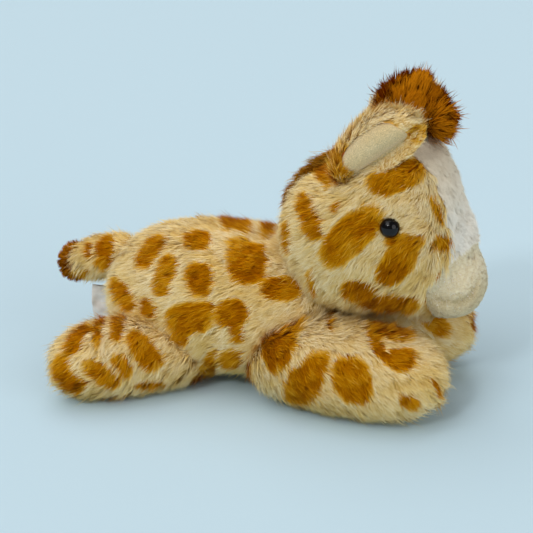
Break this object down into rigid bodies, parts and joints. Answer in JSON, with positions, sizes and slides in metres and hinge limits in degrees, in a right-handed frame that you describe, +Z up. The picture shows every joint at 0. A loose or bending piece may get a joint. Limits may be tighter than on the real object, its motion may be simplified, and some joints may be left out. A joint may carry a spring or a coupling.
{
  "type": "plush giraffe",
  "caption": "Soft toy giraffe lying on its belly with its head up, spotted long-pile plush, brown forelock and tuft, splayed legs and a white blaze.",
  "frame": {"origin": "centre of the flat on which the belly rests", "axes": "+X towards the nose, +Y towards the toy's own left, +Z up"},
  "size_m": [0.2864, 0.1704, 0.2128],
  "materials": {
    "cream_plush": "matte",
    "white_plush": "matte",
    "cream_velour": "matte",
    "brown_pile": "matte",
    "black_eye": "gloss",
    "washer": "matte",
    "fibre_filling": "matte",
    "pouch_cloth": "matte",
    "white_satin": "satin"
  },
  "bodies": {
    "torso": {"torso_side_right": "cream_plush", "torso_side_left": "cream_plush", "belly_panel": "cream_plush", "torso_filling": "fibre_filling", "torso_bead_pouch": "pouch_cloth", "care_label": "white_satin"},
    "head": {"head_side_right": "cream_plush", "head_side_left": "cream_plush", "face_blaze": "white_plush", "muzzle_panel": "cream_velour", "head_filling": "fibre_filling", "eye_right": "black_eye", "eye_left": "black_eye", "eye_washer_right": "washer", "eye_washer_left": "washer", "forelock": "brown_pile", "nape_mane": "brown_pile"},
    "ear_right": {"ear_back_right": "cream_plush", "ear_lining_right": "cream_velour"},
    "ear_left": {"ear_back_left": "cream_plush", "ear_lining_left": "cream_velour"},
    "front_leg_right": {"front_leg_right_outer_panel": "cream_plush", "front_leg_right_inner_panel": "cream_plush", "front_leg_right_filling": "fibre_filling", "front_leg_right_bead_pouch": "pouch_cloth"},
    "front_leg_left": {"front_leg_left_outer_panel": "cream_plush", "front_leg_left_inner_panel": "cream_plush", "front_leg_left_filling": "fibre_filling", "front_leg_left_bead_pouch": "pouch_cloth"},
    "hind_leg_right": {"hind_leg_right_outer_panel": "cream_plush", "hind_leg_right_inner_panel": "cream_plush", "hind_leg_right_filling": "fibre_filling", "hind_leg_right_bead_pouch": "pouch_cloth"},
    "hind_leg_left": {"hind_leg_left_outer_panel": "cream_plush", "hind_leg_left_inner_panel": "cream_plush", "hind_leg_left_filling": "fibre_filling", "hind_leg_left_bead_pouch": "pouch_cloth"},
    "tail": {"tail_skin": "cream_plush", "tail_filling": "fibre_filling", "tail_tuft": "brown_pile"}
  },
  "joints": [
    {"name": "neck_nod", "type": "hinge", "parent": "torso", "child": "head", "pos_m": [0.04481, 0, 0.10232], "axis": [0, -1, 0], "range_deg": [0, 18], "stiffness_Nm_per_rad": 0.4},
    {"name": "ear_flap_right", "type": "hinge", "parent": "head", "child": "ear_right", "pos_m": [0.088, -0.03588, 0.15376], "axis": [0.6928, 0.3927, -0.6049], "range_deg": [-8, 22], "stiffness_Nm_per_rad": 0.02},
    {"name": "ear_flap_left", "type": "hinge", "parent": "head", "child": "ear_left", "pos_m": [0.088, 0.03588, 0.15376], "axis": [-0.6928, 0.3927, 0.6049], "range_deg": [-8, 22], "stiffness_Nm_per_rad": 0.02},
    {"name": "shoulder_right", "type": "hinge", "parent": "torso", "child": "front_leg_right", "pos_m": [0.055, -0.034, 0.0305], "axis": [0, 0, -1], "range_deg": [-2, 22], "stiffness_Nm_per_rad": 0.2},
    {"name": "shoulder_left", "type": "hinge", "parent": "torso", "child": "front_leg_left", "pos_m": [0.055, 0.034, 0.0305], "axis": [0, 0, 1], "range_deg": [-2, 22], "stiffness_Nm_per_rad": 0.2},
    {"name": "hip_right", "type": "hinge", "parent": "torso", "child": "hind_leg_right", "pos_m": [-0.0408, -0.038, 0.026], "axis": [0, 0, 1], "range_deg": [-14, 14], "stiffness_Nm_per_rad": 0.15},
    {"name": "hip_left", "type": "hinge", "parent": "torso", "child": "hind_leg_left", "pos_m": [-0.0408, 0.038, 0.026], "axis": [0, 0, -1], "range_deg": [-14, 14], "stiffness_Nm_per_rad": 0.15},
    {"name": "tail_wag", "type": "hinge", "parent": "torso", "child": "tail", "pos_m": [-0.076, 0, 0.07685], "axis": [0, 0, 1], "range_deg": [-15, 15], "stiffness_Nm_per_rad": 0.02}
  ]
}
